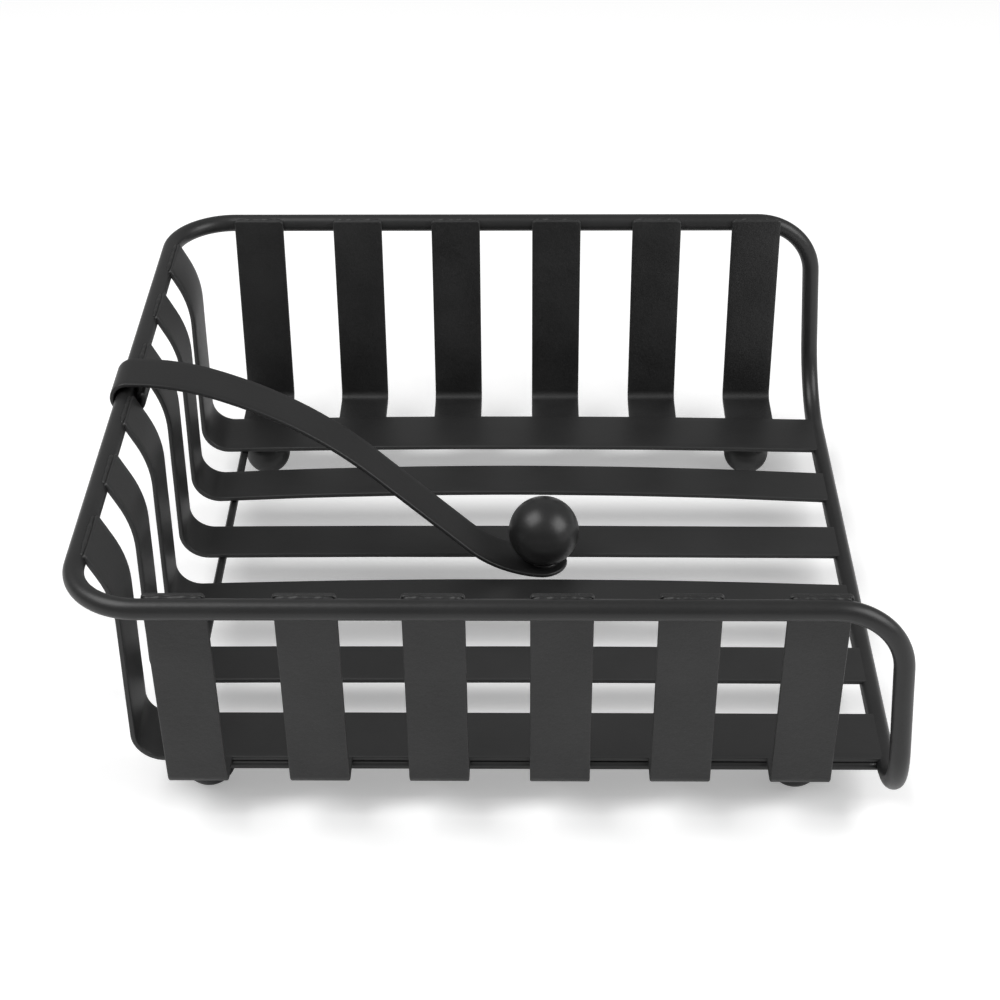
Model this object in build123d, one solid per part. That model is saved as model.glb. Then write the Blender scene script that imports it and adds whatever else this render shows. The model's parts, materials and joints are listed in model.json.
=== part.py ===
"""Flat napkin dispenser: a basket of coated steel strip on a bent wire rim, with a hinged weight arm.

Axes: +Z up, +X towards the open side, +Y towards the back. The origin is on the table, under the
middle of the dispenser. Millimetres.
"""

import math
import os

from build123d import *

# Strip stock: the two outer floor bands are wider than the rest
STRIP_WIDTH = 15.0
OUTER_STRIP_WIDTH = 18.4
STRIP_THICK = 1.4

# Rim wire: one closed loop, bent down at the open side
RIM_WIRE_DIA = 5.2
RIM_HALF_DEPTH = 102.5
RIM_HEIGHT = 75.2
RIM_LEFT_X = -100.5
RIM_RIGHT_X = 98.5
RUN_X = 102.0
RUN_HEIGHT = 11.9
RIM_PLAN_RADIUS = 18.0
RIM_SHOULDER_RADIUS = 18.0
RIM_FOOT_RADIUS = 21.0

# Floor level and the thin base wire that carries the bands: a U, open at the rim's floor run
FLOOR_TOP = 14.2
BASE_WIRE_DIA = 2.4
BASE_LEFT_X = -80.6
BASE_HALF_DEPTH = 83.5
BASE_CORNER_RADIUS = 6.0

# Six floor bands, each turned up the closed left side
FLOOR_PITCH = 29.56
FLOOR_EDGE = 83.9
SIDE_XS = (-91.9, -91.8, -91.8, -91.8, -92.0, -92.6)
SIDE_SINK = 0.5
SIDE_CORNER_RADIUS = 7.7
FLARE_ANGLE = 27.0
FLARE_RADIUS = 30.0
FLARE_REACH = 0.8
FLOOR_CROWNS = (0.1, 0.3, 1.9, 0.4, 2.8, 1.2)

# Six back bands and six front bands, each turned in at floor level to meet the floor edge
WALL_WIDTH = 15.2
WALL_TOP = 77.5
WALL_FOLD_RADIUS = 3.0
WALL_CORNER_ROUND = 1.0
BACK_FOOT_DEPTH = 98.6
FRONT_FOOT_DEPTH = 92.8
BACK_XS = (-74.9, -44.0, -13.2, 18.4, 49.8, 80.9)
FRONT_XS = (-74.4, -43.3, -12.9, 17.7, 48.2, 78.7)

# Ball feet welded under the outer floor bands
FOOT_DIA = 14.0
FOOT_LEFT_X = -74.2
FOOT_RIGHT_X = 79.5
FOOT_DEPTH = 76.0

# Weight arm: a strip curled round the left rim wire, with a ball on its tip
ARM_WIDTH = 14.2
ARM_THICK = 1.2
CURL_INNER_RADIUS = 3.75
CURL_OFFSET_X = 0.9
CURL_OFFSET_Z = 0.5
CURL_END_ANGLE = 25.0
ARM_CORNERS = ((-86.2, 80.05), (-50.8, 66.75), (1.8, 17.1))
ARM_RADII = (66.0, 118.0, 31.0)
TIP_RADIUS = 7.6
TIP_X = 13.3
BALL_DIA = 20.2
BALL_X = 14.1

BAND_COUNT = 6
FLOOR_MID = FLOOR_TOP - STRIP_THICK / 2
FLOOR_UNDERSIDE = FLOOR_TOP - STRIP_THICK
# How far a welded piece is set into its seat, and how much of each half run is the crown's arc
WELD_SINK = 0.1
CROWN_SHARE = 0.8
CUT_ALIGN = (Align.CENTER, Align.CENTER, Align.MIN)
CURL_X = RIM_LEFT_X + CURL_OFFSET_X
CURL_Z = RIM_HEIGHT + CURL_OFFSET_Z


def rounded_loop(corners, radii):
    """Closed wire of straight runs joined by tangent arcs, one radius for each corner."""
    points = [Vector(*corner) for corner in corners]
    count = len(points)
    arcs = []
    for index, (corner, radius) in enumerate(zip(points, radii)):
        back = (points[index - 1] - corner).normalized()
        ahead = (points[(index + 1) % count] - corner).normalized()
        half_angle = math.radians(back.get_angle(ahead)) / 2
        reach = radius / math.tan(half_angle)
        middle = corner + (back + ahead).normalized() * (radius / math.sin(half_angle) - radius)
        arcs.append(ThreePointArc(corner + back * reach, middle, corner + ahead * reach))
    edges = []
    for index, arc in enumerate(arcs):
        edges.append(arc)
        edges.append(Line(arc @ 1, arcs[(index + 1) % count] @ 0))
    return Wire(edges)


def wire_along(path, first, diameter):
    """Round wire swept along a path, from the start of its first edge."""
    start = Plane(origin=first @ 0, z_dir=first % 0)
    return sweep(start * Circle(diameter / 2), path=path)


def bent_strip(points, radii, thick, width, plane):
    """Flat strip that follows a line of runs and arcs in a plane, and is as wide as stated across it."""
    centre_line = FilletPolyline(*points, radius=radii)
    profile = trace(centre_line, line_width=thick)
    return extrude(plane * profile, amount=width / 2, both=True)


def floor_strip(index):
    """Middle along Y and width of a floor band, counted from the front.

    The inner four are evenly spaced, and the outer two reach to the floor's edge.
    """
    middle = (index - (BAND_COUNT - 1) / 2) * FLOOR_PITCH
    if 0 < index < BAND_COUNT - 1:
        return middle, STRIP_WIDTH
    return math.copysign(FLOOR_EDGE - OUTER_STRIP_WIDTH / 2, middle), OUTER_STRIP_WIDTH


def make_rim_wire():
    """Heavy wire: left, back and front rims, two legs at the open side and the run between them."""
    corners = []
    radii = []
    for side in (1, -1):
        corners.append((RIM_LEFT_X, side * RIM_HALF_DEPTH, RIM_HEIGHT))
        radii.append(RIM_PLAN_RADIUS)
        corners.append((RIM_RIGHT_X, side * RIM_HALF_DEPTH, RIM_HEIGHT))
        radii.append(RIM_SHOULDER_RADIUS)
        corners.append((RUN_X, side * RIM_HALF_DEPTH, RUN_HEIGHT))
        radii.append(RIM_FOOT_RADIUS)
    path = rounded_loop(corners[:3] + corners[:2:-1], radii[:3] + radii[:2:-1])
    return wire_along(path, path.edges()[-1], RIM_WIRE_DIA)


def make_base_wire(rim):
    """Thin wire under the edge of the floor, whose two ends meet the rim's floor run."""
    corners = [
        (RUN_X, BASE_HALF_DEPTH),
        (BASE_LEFT_X, BASE_HALF_DEPTH),
        (BASE_LEFT_X, -BASE_HALF_DEPTH),
        (RUN_X, -BASE_HALF_DEPTH),
    ]
    height = FLOOR_UNDERSIDE - BASE_WIRE_DIA / 2
    path = Pos(Z=height) * FilletPolyline(*corners, radius=BASE_CORNER_RADIUS)
    wire = wire_along(path, path, BASE_WIRE_DIA)
    return wire - rim


def make_floor_band(index, rim):
    """Band that lies against the left rim, flares in, drops to the floor and runs to the open side.

    The floor run is crowned: it rises in a shallow arc towards its middle.
    """
    side_x = SIDE_XS[index]
    flare = math.radians(FLARE_ANGLE)
    rise = (math.cos(flare), math.sin(flare))
    offset = RIM_WIRE_DIA / 2 + STRIP_THICK / 2 - SIDE_SINK
    touch = (RIM_LEFT_X + offset * rise[0], RIM_HEIGHT + offset * rise[1])
    top = (touch[0] - FLARE_REACH * rise[1], touch[1] + FLARE_REACH * rise[0])
    knee = (side_x, top[1] - (side_x - top[0]) / math.tan(flare))
    corner = (side_x, FLOOR_MID)
    middle_x = (side_x + RUN_X) / 2
    half_run = middle_x - side_x
    slope = FLOOR_CROWNS[index] / (half_run * (1 - CROWN_SHARE / 2))
    crown = (middle_x, FLOOR_MID + slope * half_run)
    crown_radius = CROWN_SHARE * half_run / slope
    points = [top, knee, corner, crown, (RUN_X, FLOOR_MID)]
    radii = [FLARE_RADIUS, SIDE_CORNER_RADIUS, crown_radius]
    depth, width = floor_strip(index)
    band = bent_strip(points, radii, STRIP_THICK, width, Plane.XZ)
    return Pos(Y=depth) * band - rim


def make_wall_band(x, foot_depth, rim):
    """Straight band inside the back or front rim, folded in to the floor edge.

    foot_depth is where it stands on the floor level along Y, negative at the front. The band's
    line passes the rim wire's centre at the wire's radius and half the strip's thickness.
    """
    side = math.copysign(1, foot_depth)
    rim_depth = side * (RIM_HALF_DEPTH - RIM_WIRE_DIA / 2 - STRIP_THICK / 2 + WELD_SINK)
    lean = (rim_depth - foot_depth) / (RIM_HEIGHT - FLOOR_MID)
    points = [
        (rim_depth + lean * (WALL_TOP - RIM_HEIGHT), WALL_TOP),
        (foot_depth, FLOOR_MID),
        (side * FLOOR_EDGE, FLOOR_MID),
    ]
    band = bent_strip(points, WALL_FOLD_RADIUS, STRIP_THICK, WALL_WIDTH, Plane.YZ)
    shield = RectangleRounded(WALL_WIDTH, 2 * WALL_TOP, WALL_CORNER_ROUND)
    band = band & extrude(Plane.XZ * shield, amount=2 * RIM_HALF_DEPTH, both=True)
    return Pos(X=x) * band - rim


def make_foot(x, y):
    """Ball foot with the flat at its top where it is welded under an outer floor band."""
    ball = Pos(x, y, FOOT_DIA / 2) * Sphere(FOOT_DIA / 2)
    above = Pos(x, y, FLOOR_UNDERSIDE) * Box(FOOT_DIA, FOOT_DIA, FOOT_DIA, align=CUT_ALIGN)
    return ball - above


def make_weight_arm():
    """Strip curled loosely round the left rim wire, which falls in a long S to a round flat tip."""
    curl_radius = CURL_INNER_RADIUS + ARM_THICK / 2
    curl_line = CenterArc((CURL_X, CURL_Z), curl_radius, CURL_END_ANGLE, -(360 - 90 + CURL_END_ANGLE))
    tip_end = TIP_X + TIP_RADIUS
    run_line = FilletPolyline(curl_line @ 1, *ARM_CORNERS, (tip_end, ARM_CORNERS[-1][1]), radius=ARM_RADII)
    profile = trace(curl_line, line_width=ARM_THICK) + trace(run_line, line_width=ARM_THICK)
    strip = extrude(Plane.XZ * profile, amount=TIP_RADIUS, both=True)
    left = CURL_X - 2 * curl_radius
    plan = Pos((left + TIP_X) / 2, 0) * Rectangle(TIP_X - left, ARM_WIDTH)
    plan += Pos(TIP_X, 0) * Circle(TIP_RADIUS)
    return strip & extrude(plan, amount=RIM_HEIGHT + ARM_WIDTH)


def make_weight_ball(arm):
    """Solid ball seated on the arm's tip."""
    height = ARM_CORNERS[-1][1] + ARM_THICK / 2 + BALL_DIA / 2 - WELD_SINK
    return Pos(BALL_X, 0, height) * Sphere(BALL_DIA / 2) - arm


def build():
    """Every piece of the dispenser, by name."""
    rim = make_rim_wire()
    arm = make_weight_arm()
    pieces = {"rim_wire": rim, "base_wire": make_base_wire(rim)}
    for index in range(BAND_COUNT):
        pieces[f"floor_band_{index + 1}"] = make_floor_band(index, rim)
        pieces[f"back_band_{index + 1}"] = make_wall_band(BACK_XS[index], BACK_FOOT_DEPTH, rim)
        pieces[f"front_band_{index + 1}"] = make_wall_band(FRONT_XS[index], -FRONT_FOOT_DEPTH, rim)
    for end, side in (("front", -1), ("back", 1)):
        pieces[f"{end}_left_foot"] = make_foot(FOOT_LEFT_X, side * FOOT_DEPTH)
        pieces[f"{end}_right_foot"] = make_foot(FOOT_RIGHT_X, side * FOOT_DEPTH)
    pieces["weight_arm"] = arm
    pieces["weight_ball"] = make_weight_ball(arm)
    return pieces


os.makedirs("parts", exist_ok=True)
for name, piece in build().items():
    export_step(piece, f"parts/{name}.step")
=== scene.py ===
"""Napkin dispenser of powder-coated steel strip and wire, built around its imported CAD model.

Lengths are in metres, +Z up, +X towards the open side. Strips are flat blanks with rounded
edges, bent along a path of straight runs and arcs. Wires are circles carried along such a path.
"""

import json
import math

import bmesh
import bpy
import numpy as np
from mathutils import Matrix, Vector


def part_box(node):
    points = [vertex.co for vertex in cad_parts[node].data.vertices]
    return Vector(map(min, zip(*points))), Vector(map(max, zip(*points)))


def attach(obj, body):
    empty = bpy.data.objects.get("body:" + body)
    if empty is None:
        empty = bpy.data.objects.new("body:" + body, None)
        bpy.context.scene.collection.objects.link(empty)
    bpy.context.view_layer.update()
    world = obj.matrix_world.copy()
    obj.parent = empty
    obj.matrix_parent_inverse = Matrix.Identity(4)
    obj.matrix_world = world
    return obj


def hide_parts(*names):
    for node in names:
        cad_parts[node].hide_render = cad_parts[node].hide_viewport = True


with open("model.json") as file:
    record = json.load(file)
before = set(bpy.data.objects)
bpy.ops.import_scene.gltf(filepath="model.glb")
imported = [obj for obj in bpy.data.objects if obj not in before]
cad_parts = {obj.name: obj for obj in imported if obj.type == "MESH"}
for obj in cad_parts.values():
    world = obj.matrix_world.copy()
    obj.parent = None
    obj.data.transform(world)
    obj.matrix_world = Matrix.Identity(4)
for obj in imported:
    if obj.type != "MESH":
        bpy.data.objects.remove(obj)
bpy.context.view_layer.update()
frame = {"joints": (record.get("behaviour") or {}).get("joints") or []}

MM = 0.001
X_AXIS = np.array([1.0, 0.0, 0.0])
Y_AXIS = np.array([0.0, 1.0, 0.0])

# Stock
STRIP_THICK = 1.4 * MM
STRIP_EDGE = 0.42 * MM
ARM_THICK = 1.2 * MM
ARM_EDGE = 0.4 * MM
RIM_RADIUS = 2.6 * MM
WELD_SINK = 0.1 * MM

# Rim wire
RIM_PLAN_RADIUS = 18 * MM
RIM_SHOULDER_RADIUS = 18 * MM
RIM_FOOT_RADIUS = 21 * MM
LEG_LEAN = 3.5 * MM

# Base wire
BASE_CORNER_RADIUS = 6 * MM

# Floor bands, front to back
SIDE_XS = np.array([-91.9, -91.8, -91.8, -91.8, -92.0, -92.6]) * MM
SIDE_SINK = 0.5 * MM
FLOOR_CROWNS = np.array([0.1, 0.3, 1.9, 0.4, 2.8, 1.2]) * MM
SIDE_CORNER_RADIUS = 7.7 * MM
FLARE_ANGLE = math.radians(27)
FLARE_RADIUS = 30 * MM
FLARE_REACH = 0.8 * MM
CROWN_SHARE = 0.8
FLOOR_ROUNDS = (0.9 * MM, 0.6 * MM)
WAVE = 0.03 * MM

# Back and front bands
WALL_TOP = 77.5 * MM
WALL_FOLD_RADIUS = 3 * MM
WALL_ROUNDS = (1 * MM, 0.5 * MM)
WALL_FOOT_DEPTHS = {"back": 98.6 * MM, "front": 92.8 * MM}

# Weld beads
WELD_RADIUS = 0.6 * MM
WELD_INSET = 0.6 * MM
WALL_WELD_RADIUS = 0.95 * MM
WALL_WELD_OUT = 0.5 * MM
WALL_WELD_DROP = 1 * MM
BALL_FILLET = 0.45 * MM
WELD_ANGLE = math.radians(50)

# Weight arm
CURL_INNER_RADIUS = 3.75 * MM
CURL_OFFSET_X = 0.9 * MM
CURL_OFFSET_Z = 0.5 * MM
CURL_END_ANGLE = math.radians(25)
CURL_TURN = math.radians(295)
ARM_SHOULDER_X = -86.2 * MM
ARM_SLOPE_START = (-50.8 * MM, 66.75 * MM)
ARM_TIP_BEND_X = 1.8 * MM
ARM_RADII = np.array([66.0, 118.0, 31.0]) * MM
ARM_HALF_WIDTH = 7.1 * MM
ARM_ROUNDS = (0.9 * MM, ARM_HALF_WIDTH)
TIP_SWELL = 0.5 * MM

BAND_COUNT = 6
GOLDEN = 2.399963


# ---- Places taken from the frame ----

rim_low, rim_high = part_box("rim_wire")
RIM_LEFT_X = rim_low.x + RIM_RADIUS
RIM_HALF_DEPTH = rim_high.y - RIM_RADIUS
RIM_HEIGHT = rim_high.z - RIM_RADIUS
RUN_X = rim_high.x - RIM_RADIUS
RUN_HEIGHT = rim_low.z + RIM_RADIUS
foot_low, foot_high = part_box("front_left_foot")
FLOOR_UNDERSIDE = foot_high.z
FLOOR_MID = FLOOR_UNDERSIDE + STRIP_THICK / 2
FLOOR_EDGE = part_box("back_band_1")[0].y


# ---- Paths of runs and arcs ----


class Path:
    """Straight runs and circular arcs, end to end.

    Each stretch has a start, a direction, a side it bends to, a curvature and a length. At a
    distance d along it, a point is start + sin(kd)/k direction + (1 - cos(kd))/k side, and at
    no curvature start + d direction.
    """

    def __init__(self):
        self.rows = []

    def add(self, start, direction, side, curvature, length):
        self.rows.append((np.array(start), np.array(direction), np.array(side), curvature, length))

    def close_up(self):
        """Turns the list of stretches into arrays, and adds up where each begins."""
        self.start = np.array([row[0] for row in self.rows])
        self.direction = np.array([row[1] for row in self.rows])
        self.side = np.array([row[2] for row in self.rows])
        self.curvature = np.array([row[3] for row in self.rows])
        lengths = np.array([row[4] for row in self.rows])
        self.begin = np.concatenate([[0.0], np.cumsum(lengths)[:-1]])
        self.length = float(lengths.sum())
        return self

    def walk(self, distance):
        """Points and directions at these distances; past either end the last stretch goes on."""
        distance = np.asarray(distance, float)
        row = np.clip(np.searchsorted(self.begin, distance, side="right") - 1, 0, len(self.rows) - 1)
        gone = distance - self.begin[row]
        bend = self.curvature[row]
        bent = bend > 0
        safe = np.where(bent, bend, 1.0)
        ahead = np.where(bent, np.sin(bend * gone) / safe, gone)[..., None]
        aside = np.where(bent, (1 - np.cos(bend * gone)) / safe, 0.0)[..., None]
        point = self.start[row] + ahead * self.direction[row] + aside * self.side[row]
        angle = (bend * gone)[..., None]
        direction = np.cos(angle) * self.direction[row] + np.sin(angle) * self.side[row]
        return point, direction

    def stations(self, run_step, arc_step):
        """Distances to put a section at: closer together round an arc than along a run."""
        found = []
        for begin, row in zip(self.begin, self.rows):
            step = arc_step / row[3] if row[3] > 0 else run_step
            count = max(1, math.ceil(row[4] / min(step, run_step)))
            found.append(begin + np.arange(count) * row[4] / count)
        return np.concatenate([*found, [self.length]])


def unit(vector):
    """The vector at length one."""
    return vector / np.linalg.norm(vector)


def add_runs_and_arcs(path, corners, radii, closed=False):
    """Adds straight runs joined by tangent arcs; radii has one radius for each corner turned."""
    corners = [np.array(corner, float) for corner in corners]
    turned = range(len(corners)) if closed else range(1, len(corners) - 1)
    bends = []
    for index, radius in zip(turned, radii):
        corner = corners[index]
        back = unit(corners[index - 1] - corner)
        ahead = unit(corners[(index + 1) % len(corners)] - corner)
        half = math.acos(np.clip(back @ ahead, -1, 1)) / 2
        reach = radius / math.tan(half)
        middle = corner + unit(back + ahead) * radius / math.sin(half)
        first = corner + back * reach
        turn = math.pi - 2 * half
        bends.append((first, -back, (middle - first) / radius, radius, turn, corner + ahead * reach))
    here = bends[-1][5] if closed else corners[0]
    for first, direction, side, radius, turn, last in bends:
        run = np.linalg.norm(first - here)
        path.add(here, unit(first - here), side, 0.0, run)
        path.add(first, direction, side, 1 / radius, radius * turn)
        here = last
    if not closed:
        run = np.linalg.norm(corners[-1] - here)
        path.add(here, unit(corners[-1] - here), side, 0.0, run)
    return path


# ---- Surfaces ----


def grid_faces(rows, columns, around=False, first=0):
    """Four-cornered faces between neighbouring points of a grid.

    around joins the last column to the first. The corners count up from first.
    """
    last_column = columns if around else columns - 1
    row, column = np.meshgrid(np.arange(rows - 1), np.arange(last_column), indexing="ij")
    beside = (column + 1) % columns
    corners = [row * columns + column, row * columns + beside]
    corners += [(row + 1) * columns + beside, (row + 1) * columns + column]
    return first + np.stack(corners, axis=-1).reshape(-1, 4)


def strip_surface(path, across, half_width, half_thick, edge, rounds, wave=0.0, phase=0.0, swell=0.0):
    """Flat blank with rounded edges, bent along a path.

    The blank's core is the outline set in by the edge radius: full width along the middle, and
    quarter circles at its corners. Every point is a core point plus the edge radius times
    (cos a along the outline's normal, sin a through the thickness), so edges and corners are
    round. rounds holds the corner radius at the path's start and at its end. A radius of half
    the width makes a full round tip. wave lifts the blank by two slow sines along its length.
    swell widens the end by a bell curve centred on the tip's round.
    """
    start_round, end_round = rounds
    length = path.length
    turn = np.linspace(0, math.pi / 2, 9)
    lead = start_round - (start_round - edge) * np.sin(turn[::-1])
    tail = length - end_round + (end_round - edge) * np.sin(turn)
    middle = path.stations(4 * MM, math.radians(4))
    middle = middle[(middle > start_round + 0.2 * MM) & (middle < length - end_round - 0.2 * MM)]
    along = np.concatenate([lead, middle, tail])
    lead_core = half_width - start_round + (start_round - edge) * np.cos(turn[::-1])
    tail_core = half_width - end_round + (end_round - edge) * np.cos(turn)
    core = np.concatenate([lead_core, np.full(len(middle), half_width - edge), tail_core])
    core *= 1 + swell / half_width * np.exp(-(((along - length + end_round) / half_width) ** 2))
    normal_along = np.concatenate([-np.sin(turn[::-1]), np.zeros(len(middle)), np.sin(turn)])
    normal_across = np.concatenate([np.cos(turn[::-1]), np.ones(len(middle)), np.cos(turn)])

    flat = np.linspace(-1, 1, 9)
    upper = np.radians(np.linspace(90, 0, 5))
    sweep = np.concatenate([upper, -upper[::-1]])
    rise = np.concatenate([np.full(5, half_thick - edge), np.full(5, edge - half_thick)])
    rise = rise + edge * np.sin(sweep)
    out = edge * np.cos(sweep)
    side = np.concatenate([flat[:-1], np.full(9, 1.0), flat[::-1][:-1], np.full(9, -1.0)])
    push = np.concatenate([np.zeros(8), out[:-1], np.zeros(8), out[::-1][:-1]])
    push_side = np.concatenate([np.zeros(8), np.full(9, 1.0), np.zeros(8), np.full(9, -1.0)])
    lift = np.concatenate([np.full(8, half_thick), rise[:-1], np.full(8, -half_thick), rise[::-1][:-1]])
    s = along[:, None] + push[None] * normal_along[:, None]
    u = core[:, None] * side[None] + push[None] * push_side[None] * normal_across[:, None]
    v = np.broadcast_to(lift[None], s.shape)
    worn = np.broadcast_to((push / edge)[None], s.shape)
    blanks = [(s, u, v, worn)]
    faces = [grid_faces(*s.shape, around=True)]
    count = s.size
    for index, outward in ((0, -1.0), (-1, 1.0)):
        cap_s = np.broadcast_to((along[index] + outward * out)[:, None], (len(out), len(flat)))
        cap_u = core[index] * np.broadcast_to(flat[None], cap_s.shape)
        cap_v = np.broadcast_to(rise[:, None], cap_s.shape)
        cap_worn = np.broadcast_to((out / edge)[:, None], cap_s.shape)
        blanks.append((cap_s, cap_u, cap_v, cap_worn))
        faces.append(grid_faces(*cap_s.shape, first=count))
        count += cap_s.size
    s, u, v, worn = (np.concatenate([np.ravel(blank[index]) for blank in blanks]) for index in range(4))
    point, direction = path.walk(s)
    through = np.cross(across, direction)
    v = v + wave * (0.6 * np.sin(s * 90 + phase) + 0.4 * np.sin(s * 203 + 1.7 * phase))
    return point + u[:, None] * across + v[:, None] * through, np.concatenate(faces), worn


def wire_surface(path, radius, closed, sides=32):
    """Circle carried along a path without twisting, its reference line turning with each arc.

    A point is the path's point + radius (cos a reference + sin a (direction x reference)). On a
    closed path the twist left over at the end is spread evenly. An open wire has flat ends.
    """
    along = path.stations(5 * MM, math.radians(4))
    row = np.clip(np.searchsorted(path.begin, along, side="right") - 1, 0, len(path.rows) - 1)
    references = [unit(np.cross(path.side[0], path.direction[0]))]
    for index in range(1, len(path.rows) + 1):
        direction, side, bend, length = path.rows[index - 1][1:]
        references.append(turn_with_arc(references[-1], direction, side, bend * length))
    turned = path.curvature[row] * (along - path.begin[row])
    base = np.array(references)[row]
    reference = turn_with_arc(base, path.direction[row], path.side[row], turned)
    point, direction = path.walk(along)
    beside = np.cross(direction, reference)
    twist = 0.0
    if closed:
        first, last = references[0], references[-1]
        twist = math.atan2(np.cross(path.direction[0], first) @ last, first @ last)
    angle = np.linspace(0, 2 * math.pi, sides, endpoint=False)[None] - (twist * along / path.length)[:, None]
    ring = np.cos(angle)[..., None] * reference[:, None] + np.sin(angle)[..., None] * beside[:, None]
    points = (point[:, None] + radius * ring).reshape(-1, 3)
    faces = grid_faces(len(along), sides, around=True)
    if not closed:
        points = np.concatenate([points, point[[0, -1]]])
        rim = np.arange(sides)
        hub = len(points)
        last_rim = (len(along) - 1) * sides + rim
        start_cap = np.stack([rim, (rim + 1) % sides, np.full(sides, hub - 2)], axis=-1)
        end_cap = np.stack([last_rim, np.roll(last_rim, -1), np.full(sides, hub - 1)], axis=-1)
        return points, [*faces.tolist(), *start_cap.tolist(), *end_cap.tolist()]
    return points, faces


def turn_with_arc(vector, direction, side, angle):
    """Turns a vector in the plane of direction and side, from direction towards side, by an angle."""
    along = np.sum(vector * direction, axis=-1, keepdims=True)
    aside = np.sum(vector * side, axis=-1, keepdims=True)
    rest = vector - along * direction - aside * side
    angle = np.asarray(angle)[..., None] if np.ndim(angle) else angle
    new_along = along * np.cos(angle) - aside * np.sin(angle)
    new_aside = along * np.sin(angle) + aside * np.cos(angle)
    return rest + new_along * direction + new_aside * side


def turned_surface(profile, centre, sides=96):
    """Profile of (radius, height) pairs turned once round a vertical line through a centre."""
    angle = np.linspace(0, 2 * math.pi, sides, endpoint=False)
    radius, height = np.array(profile).T
    x = centre[0] + radius[:, None] * np.cos(angle)[None]
    y = centre[1] + radius[:, None] * np.sin(angle)[None]
    z = centre[2] + np.broadcast_to(height[:, None], x.shape)
    return np.stack([x, y, z], axis=-1).reshape(-1, 3), grid_faces(len(radius), sides, around=True)


def bead_surface(start, end, radius, seed, sides=12, stations=40):
    """Lumpy weld bead: circles along a straight line, their radius a half ellipse times a ripple.

    The ripple is 1 plus three sines along the bead, whose phases come from the seed.
    """
    start, end = np.array(start), np.array(end)
    direction = unit(end - start)
    t = 0.5 - 0.5 * np.cos(np.linspace(0, math.pi, stations))
    waves = sum(np.sin(t * rate + seed * GOLDEN * rate) for rate in (7.0, 17.0, 29.0))
    size = radius * (1 + 0.1 * waves) * np.sqrt(np.clip(1 - (2 * t - 1) ** 6, 0, 1))
    aside = unit(np.cross(direction, [0.31, 0.17, 0.93]))
    above = np.cross(direction, aside)
    angle = np.linspace(0, 2 * math.pi, sides, endpoint=False)
    ring = np.cos(angle)[:, None] * aside + np.sin(angle)[:, None] * above
    line = start + (end - start) * t[:, None]
    points = line[:, None] + size[:, None, None] * ring[None]
    return points.reshape(-1, 3), grid_faces(stations, sides, around=True)


def make_piece(name, surfaces, body, coat, stands_for):
    """One mesh object from several surfaces, doubles merged and faces outwards, riding on a body."""
    points, faces, worn, count = [], [], [], 0
    for surface in surfaces:
        points.append(surface[0])
        faces += [[corner + count for corner in face] for face in np.asarray(surface[1], object).tolist()]
        worn.append(surface[2] if len(surface) > 2 else np.zeros(len(surface[0])))
        count += len(surface[0])
    mesh = bpy.data.meshes.new(name)
    mesh.from_pydata(np.concatenate(points).tolist(), [], faces)
    attribute = mesh.attributes.new("coat_thin", "FLOAT", "POINT")
    attribute.data.foreach_set("value", np.concatenate(worn).astype(np.float32))
    work = bmesh.new()
    work.from_mesh(mesh)
    bmesh.ops.remove_doubles(work, verts=work.verts, dist=2e-6)
    bmesh.ops.recalc_face_normals(work, faces=work.faces)
    work.to_mesh(mesh)
    work.free()
    mesh.shade_smooth()
    piece = bpy.data.objects.new(name, mesh)
    bpy.context.scene.collection.objects.link(piece)
    mesh.materials.append(coat)
    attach(piece, body)
    if stands_for:
        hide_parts(*stands_for)
    return piece


# ---- Finishes ----


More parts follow.
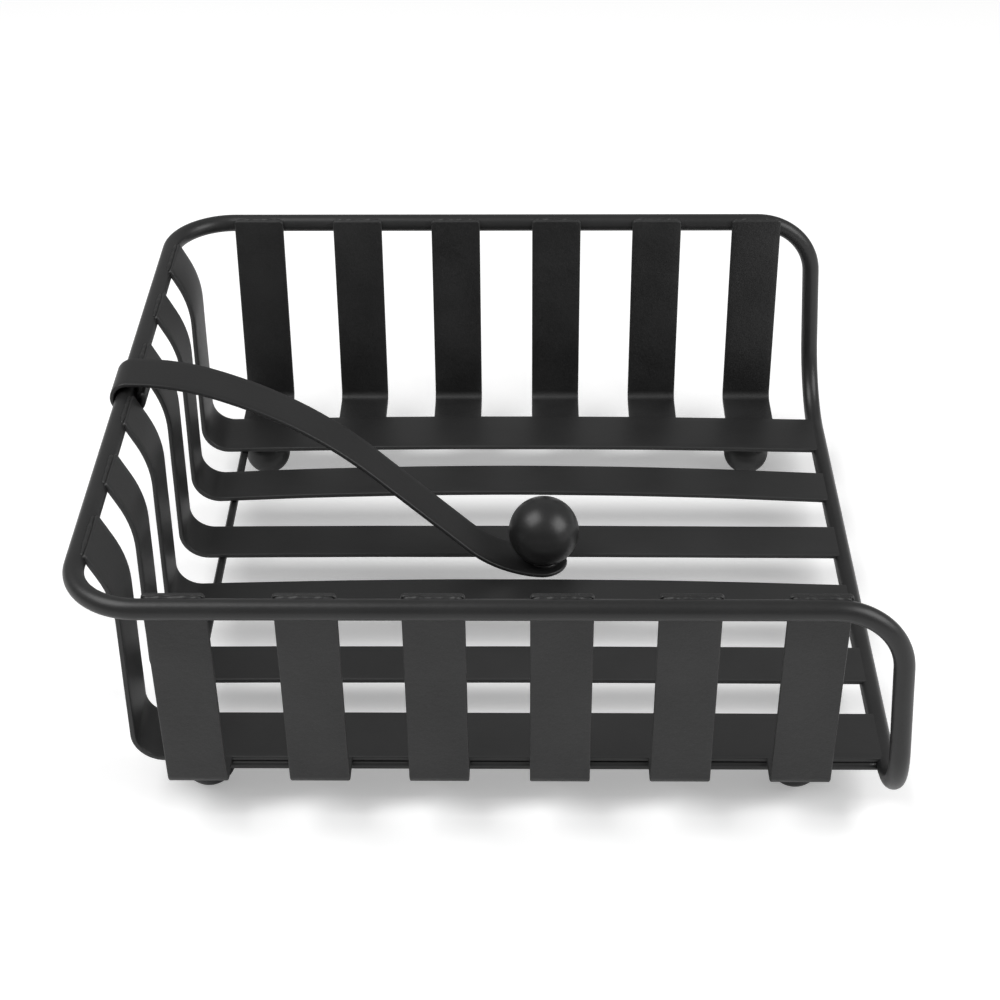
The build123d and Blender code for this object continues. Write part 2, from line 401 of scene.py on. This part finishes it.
def powder_coat(name, tone, roughness, grain, mottle):
    """Satin black powder coat: fine grain, orange peel, slow mottling, and thinner coat on edges.

    grain is the height of the fine bump in metres. mottle is how far the tone drifts.
    """
    coat = bpy.data.materials.new(name)
    coat.use_nodes = True
    tree = coat.node_tree
    shader = tree.nodes["Principled BSDF"]
    shader.inputs["IOR"].default_value = 1.47
    shader.inputs["Specular IOR Level"].default_value = 0.5
    place = tree.nodes.new("ShaderNodeTexCoord").outputs["Object"]

    drift = noise(tree, place, 55.0, 3.0, 0.5)
    speckle = noise(tree, place, 2400.0, 2.0, 0.6)
    peel = noise(tree, place, 700.0, 2.0, 0.5)
    thin = tree.nodes.new("ShaderNodeAttribute")
    thin.attribute_name = "coat_thin"

    shade = blend_values(tree, drift, speckle, 0.45)
    tint = tree.nodes.new("ShaderNodeValToRGB")
    tint.color_ramp.elements[0].position = 0.3
    tint.color_ramp.elements[0].color = (*(value * (1 - mottle) for value in tone), 1)
    tint.color_ramp.elements[1].position = 0.7
    tint.color_ramp.elements[1].color = (*(value * (1 + mottle) for value in tone), 1)
    tree.links.new(shade, tint.inputs["Fac"])
    edge_mix = tree.nodes.new("ShaderNodeMix")
    edge_mix.data_type = "RGBA"
    edge_mix.inputs["B"].default_value = (*(value * 1.9 for value in tone), 1)
    edge_share = scaled(tree, thin.outputs["Fac"], 0.35)
    tree.links.new(edge_share, edge_mix.inputs["Factor"])
    tree.links.new(tint.outputs["Color"], edge_mix.inputs["A"])
    tree.links.new(edge_mix.outputs["Result"], shader.inputs["Base Color"])

    rough = tree.nodes.new("ShaderNodeMapRange")
    rough.inputs["From Min"].default_value = 0.25
    rough.inputs["From Max"].default_value = 0.75
    rough.inputs["To Min"].default_value = roughness - 0.05
    rough.inputs["To Max"].default_value = roughness + 0.05
    tree.links.new(blend_values(tree, drift, speckle, 0.6), rough.inputs["Value"])
    tree.links.new(rough.outputs["Result"], shader.inputs["Roughness"])

    grain_bump = tree.nodes.new("ShaderNodeBump")
    grain_bump.inputs["Distance"].default_value = grain
    tree.links.new(speckle, grain_bump.inputs["Height"])
    peel_bump = tree.nodes.new("ShaderNodeBump")
    peel_bump.inputs["Distance"].default_value = 2.2 * grain
    tree.links.new(peel, peel_bump.inputs["Height"])
    tree.links.new(grain_bump.outputs["Normal"], peel_bump.inputs["Normal"])
    tree.links.new(peel_bump.outputs["Normal"], shader.inputs["Normal"])
    return coat


def noise(tree, place, scale, detail, roughness):
    """A noise texture's value at that place."""
    node = tree.nodes.new("ShaderNodeTexNoise")
    node.inputs["Scale"].default_value = scale
    node.inputs["Detail"].default_value = detail
    node.inputs["Roughness"].default_value = roughness
    tree.links.new(place, node.inputs["Vector"])
    return node.outputs["Fac"]


def blend_values(tree, first, second, share):
    """first and second mixed, with that share of the second."""
    node = tree.nodes.new("ShaderNodeMix")
    node.inputs["Factor"].default_value = share
    tree.links.new(first, node.inputs["A"])
    tree.links.new(second, node.inputs["B"])
    return node.outputs["Result"]


def scaled(tree, value, factor):
    """A value times a factor."""
    node = tree.nodes.new("ShaderNodeMath")
    node.operation = "MULTIPLY"
    node.inputs[1].default_value = factor
    tree.links.new(value, node.inputs[0])
    return node.outputs["Value"]


BLACK = (0.0145, 0.0145, 0.0146)
# Painted light: the floor bands get a lighter copy of the same black, standing in for the light their upward
# faces catch.
PAINTED_LIT_BLACK = (0.0175, 0.0175, 0.0176)
# Painted shade: the weight arm gets a darker copy of the same black, standing in for the shade it shows under
# these lights.
PAINTED_SHADE_BLACK = (0.011, 0.011, 0.0111)
rim_coat = powder_coat("rim_powder_coat", BLACK, 0.38, 12e-6, 0.25)
floor_coat = powder_coat("floor_powder_coat", PAINTED_LIT_BLACK, 0.42, 8e-6, 0.2)
wall_coat = powder_coat("wall_powder_coat", BLACK, 0.46, 40e-6, 0.6)
arm_coat = powder_coat("arm_powder_coat", PAINTED_SHADE_BLACK, 0.42, 8e-6, 0.2)
ball_coat = powder_coat("ball_powder_coat", BLACK, 0.34, 8e-6, 0.2)


# ---- Pieces ----


def add_rim_wire():
    """Closed loop: left, back and front rims, two leaning legs and the run between their feet."""
    corners, radii = [], []
    for side in (1, -1):
        corners.append((RIM_LEFT_X, side * RIM_HALF_DEPTH, RIM_HEIGHT))
        corners.append((RUN_X - LEG_LEAN, side * RIM_HALF_DEPTH, RIM_HEIGHT))
        corners.append((RUN_X, side * RIM_HALF_DEPTH, RUN_HEIGHT))
        radii += [RIM_PLAN_RADIUS, RIM_SHOULDER_RADIUS, RIM_FOOT_RADIUS]
    loop = add_runs_and_arcs(Path(), corners[:3] + corners[:2:-1], radii[:3] + radii[:2:-1], closed=True)
    surface = wire_surface(loop.close_up(), RIM_RADIUS, closed=True)
    make_piece("rim_wire_coated", [surface], "basket", rim_coat, ["rim_wire"])


def add_base_wire():
    """Thin U of wire under the edge of the floor, its two ends welded to the rim's run."""
    low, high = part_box("base_wire")
    radius = (high.z - low.z) / 2
    left, depth, height = low.x + radius, high.y - radius, low.z + radius
    corners = [(RUN_X, depth, height), (left, depth, height), (left, -depth, height), (RUN_X, -depth, height)]
    path = add_runs_and_arcs(Path(), corners, [BASE_CORNER_RADIUS] * 2).close_up()
    surface = wire_surface(path, radius, closed=False, sides=20)
    make_piece("base_wire_coated", [surface], "basket", rim_coat, ["base_wire"])


def add_floor_band(index):
    """Band that lies on the left rim, flares in, drops to the floor and runs to the open side."""
    node = f"floor_band_{index + 1}"
    low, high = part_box(node)
    middle, half_width = (low.y + high.y) / 2, (high.y - low.y) / 2
    side_x = SIDE_XS[index]
    rise = (math.cos(FLARE_ANGLE), math.sin(FLARE_ANGLE))
    offset = RIM_RADIUS + STRIP_THICK / 2 - SIDE_SINK
    touch = (RIM_LEFT_X + offset * rise[0], RIM_HEIGHT + offset * rise[1])
    top = (touch[0] - FLARE_REACH * rise[1], touch[1] + FLARE_REACH * rise[0])
    knee = (side_x, top[1] - (side_x - top[0]) / math.tan(FLARE_ANGLE))
    middle_x = (side_x + RUN_X) / 2
    slope = FLOOR_CROWNS[index] / ((middle_x - side_x) * (1 - CROWN_SHARE / 2))
    crown = (middle_x, FLOOR_MID + slope * (middle_x - side_x))
    crown_radius = CROWN_SHARE * (middle_x - side_x) / slope
    corners = [(x, middle, z) for x, z in (top, knee, (side_x, FLOOR_MID), crown, (RUN_X, FLOOR_MID))]
    path = add_runs_and_arcs(Path(), corners, [FLARE_RADIUS, SIDE_CORNER_RADIUS, crown_radius]).close_up()
    phase = index * GOLDEN
    half_thick = STRIP_THICK / 2
    surface = strip_surface(path, Y_AXIS, half_width, half_thick, STRIP_EDGE, FLOOR_ROUNDS, WAVE, phase)
    weld_x = RIM_LEFT_X + RIM_RADIUS * math.cos(WELD_ANGLE)
    weld_z = RIM_HEIGHT + RIM_RADIUS * math.sin(WELD_ANGLE)
    reach = half_width - WELD_INSET
    start, end = (weld_x, middle - reach, weld_z), (weld_x, middle + reach, weld_z)
    weld = bead_surface(start, end, WELD_RADIUS, index + 1)
    make_piece(node + "_coated", [surface, weld], "basket", floor_coat, [node])


def add_wall_band(end, side, index):
    """Straight band inside the back or front rim, folded in to the floor's edge, with a weld on top."""
    node = f"{end}_band_{index + 1}"
    low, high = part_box(node)
    x, half_width = (low.x + high.x) / 2, (high.x - low.x) / 2
    rim_depth = RIM_HALF_DEPTH - RIM_RADIUS - STRIP_THICK / 2 + WELD_SINK
    foot_depth = WALL_FOOT_DEPTHS[end]
    lean = (rim_depth - foot_depth) / (RIM_HEIGHT - FLOOR_MID)
    top = (side * (rim_depth + lean * (WALL_TOP - RIM_HEIGHT)), WALL_TOP)
    last = side * (FLOOR_EDGE - 2 * STRIP_EDGE)
    corners = [(x, y, z) for y, z in (top, (side * foot_depth, FLOOR_MID), (last, FLOOR_MID))]
    path = add_runs_and_arcs(Path(), corners, [WALL_FOLD_RADIUS]).close_up()
    phase = index * GOLDEN + side
    half_thick = STRIP_THICK / 2
    surface = strip_surface(path, X_AXIS, half_width, half_thick, STRIP_EDGE, WALL_ROUNDS, WAVE, phase)
    weld_y = side * (rim_depth + half_thick + WALL_WELD_OUT)
    weld_z = RIM_HEIGHT + RIM_RADIUS - WALL_WELD_DROP
    reach = half_width - WELD_INSET
    weld = bead_surface((x - reach, weld_y, weld_z), (x + reach, weld_y, weld_z), WALL_WELD_RADIUS, phase)
    make_piece(node + "_coated", [surface, weld], "basket", wall_coat, [node])


def ball_profile(radius, seat, fillet):
    """Ball from its free pole to its weld seat, as (radius, height) pairs about the ball's centre.

    A circle runs from the pole to where a small concave arc, tangent to it, flares out to the
    seat, which lies that far below the centre. The seat closes to the middle, slightly sunk.
    """
    hub_height = fillet - seat
    hub_radius = math.sqrt((radius + fillet) ** 2 - hub_height**2)
    ball_angle = np.linspace(0, math.atan2(hub_radius, hub_height), 64)
    ball = radius * np.stack([np.sin(ball_angle), np.cos(ball_angle)], axis=-1)
    flare_angle = np.linspace(math.atan2(-hub_height, -hub_radius), 1.5 * math.pi, 10)[1:]
    flare = np.stack([np.cos(flare_angle), np.sin(flare_angle)], axis=-1)
    flare = np.array([hub_radius, hub_height]) + fillet * flare
    return np.concatenate([ball, flare, [[0.0, -seat - WELD_SINK]]])


def add_foot(node):
    """Ball foot, welded by its top under an outer floor band."""
    low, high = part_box(node)
    radius = (high.x - low.x) / 2
    centre = ((low.x + high.x) / 2, (low.y + high.y) / 2, low.z + radius)
    profile = ball_profile(radius, FLOOR_UNDERSIDE - centre[2], BALL_FILLET) * np.array([1, -1])
    surface = turned_surface(profile, centre)
    make_piece(node + "_coated", [surface], "basket", ball_coat, [node])


def add_weight_arm():
    """Strip curled loosely round the left rim, which falls in a long S to a swollen round tip."""
    low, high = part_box("weight_arm")
    pivot = frame["joints"][0]["pos_m"]
    tip_z = low.z + ARM_THICK / 2
    curl_radius = CURL_INNER_RADIUS + ARM_THICK / 2
    centre = np.array([pivot[0] + CURL_OFFSET_X, 0.0, pivot[2] + CURL_OFFSET_Z])
    outward = np.array([math.cos(CURL_END_ANGLE), 0.0, math.sin(CURL_END_ANGLE)])
    downward = np.array([math.sin(CURL_END_ANGLE), 0.0, -math.cos(CURL_END_ANGLE)])
    curl = Path()
    curl.add(centre + curl_radius * outward, downward, -outward, 1 / curl_radius, curl_radius * CURL_TURN)
    crest_z = centre[2] + curl_radius
    line = [(centre[0], crest_z), (ARM_SHOULDER_X, crest_z), ARM_SLOPE_START]
    line += [(ARM_TIP_BEND_X, tip_z), (high.x, tip_z)]
    path = add_runs_and_arcs(curl, [(x, 0.0, z) for x, z in line], ARM_RADII).close_up()
    half_thick = ARM_THICK / 2
    surface = strip_surface(path, Y_AXIS, ARM_HALF_WIDTH, half_thick, ARM_EDGE, ARM_ROUNDS, swell=TIP_SWELL)
    make_piece("weight_arm_coated", [surface], "arm", arm_coat, ["weight_arm"])


def add_weight_ball():
    """Ball seated on the arm's tip, with a thin weld fillet round its foot."""
    low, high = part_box("weight_ball")
    arm_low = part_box("weight_arm")[0]
    radius = (high.x - low.x) / 2
    centre = ((low.x + high.x) / 2, 0.0, high.z - radius)
    seat = centre[2] - (arm_low.z + ARM_THICK)
    surface = turned_surface(ball_profile(radius, seat, BALL_FILLET), centre)
    make_piece("weight_ball_coated", [surface], "arm", ball_coat, ["weight_ball"])


add_rim_wire()
add_base_wire()
for index in range(BAND_COUNT):
    add_floor_band(index)
    add_wall_band("back", 1, index)
    add_wall_band("front", -1, index)
for foot in ("front_left_foot", "front_right_foot", "back_left_foot", "back_right_foot"):
    add_foot(foot)
add_weight_arm()
add_weight_ball()


# ---- Camera, floor and light ----

CAMERA_PLACE = (0.00962, -0.50813, 0.37462)
CAMERA_YAW, CAMERA_PITCH, CAMERA_ROLL = -0.018785, 0.584278, 0.009583
BALL_CENTRE = (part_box("weight_ball")[0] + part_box("weight_ball")[1]) / 2


def add_camera():
    """Camera that looks down on the open front, turned by yaw, then pitch, then roll."""
    data = bpy.data.cameras.new("camera")
    data.lens = 77.164
    data.sensor_width = 36
    data.shift_x = 0.0054
    data.shift_y = -0.0006
    data.clip_start = 0.02
    data.clip_end = 20
    camera = bpy.data.objects.new("camera", data)
    turn = Matrix.Rotation(-CAMERA_YAW, 4, "Z") @ Matrix.Rotation(math.pi / 2 - CAMERA_PITCH, 4, "X")
    camera.matrix_world = Matrix.Translation(CAMERA_PLACE) @ turn @ Matrix.Rotation(-CAMERA_ROLL, 4, "Z")
    bpy.context.scene.collection.objects.link(camera)
    bpy.context.scene.camera = camera


def add_soft_box(name, direction, size, power, distance=0.9):
    """Square area light that faces the weight ball from a direction."""
    data = bpy.data.lights.new(name, "AREA")
    data.shape = "SQUARE"
    data.size = size
    data.energy = power
    light = bpy.data.objects.new(name, data)
    away = Vector(direction).normalized()
    light.location = BALL_CENTRE + away * distance
    light.rotation_euler = away.to_track_quat("Z", "Y").to_euler()
    bpy.context.scene.collection.objects.link(light)


def add_floor():
    """Plain white floor that the ball feet stand on, brighter where it shows than as a light."""
    half = 4.0
    mesh = bpy.data.meshes.new("floor")
    corners = [(-half, -half, 0), (half, -half, 0), (half, half, 0), (-half, half, 0)]
    mesh.from_pydata(corners, [], [(0, 1, 2, 3)])
    white = bpy.data.materials.new("floor_white")
    white.use_nodes = True
    shader = white.node_tree.nodes["Principled BSDF"]
    shader.inputs["Base Color"].default_value = (0.93, 0.93, 0.93, 1)
    shader.inputs["Roughness"].default_value = 0.9
    shader.inputs["Specular IOR Level"].default_value = 0.1
    shader.inputs["Emission Color"].default_value = (1, 1, 1, 1)
    seen = white.node_tree.nodes.new("ShaderNodeLightPath").outputs["Is Camera Ray"]
    glow = scaled(white.node_tree, seen, 0.3)
    white.node_tree.links.new(glow, shader.inputs["Emission Strength"])
    mesh.materials.append(white)
    floor = bpy.data.objects.new("floor", mesh)
    bpy.context.scene.collection.objects.link(floor)


def add_room():
    """White surroundings, which light the object less than they show."""
    world = bpy.data.worlds.new("room")
    world.use_nodes = True
    tree = world.node_tree
    background = tree.nodes["Background"]
    background.inputs["Color"].default_value = (1, 1, 1, 1)
    seen = tree.nodes.new("ShaderNodeLightPath").outputs["Is Camera Ray"]
    strength = tree.nodes.new("ShaderNodeMapRange")
    strength.inputs["To Min"].default_value = 0.36
    strength.inputs["To Max"].default_value = 1.0
    tree.links.new(seen, strength.inputs["Value"])
    tree.links.new(strength.outputs["Result"], background.inputs["Strength"])
    bpy.context.scene.world = world
    bpy.context.scene.view_settings.view_transform = "Standard"


add_camera()
add_floor()
add_room()
add_soft_box("soft_box_left", (-0.53, -0.13, 0.84), 0.6, 4.6)
add_soft_box("soft_box_right", (0.76, -0.27, 0.59), 0.6, 4.6)
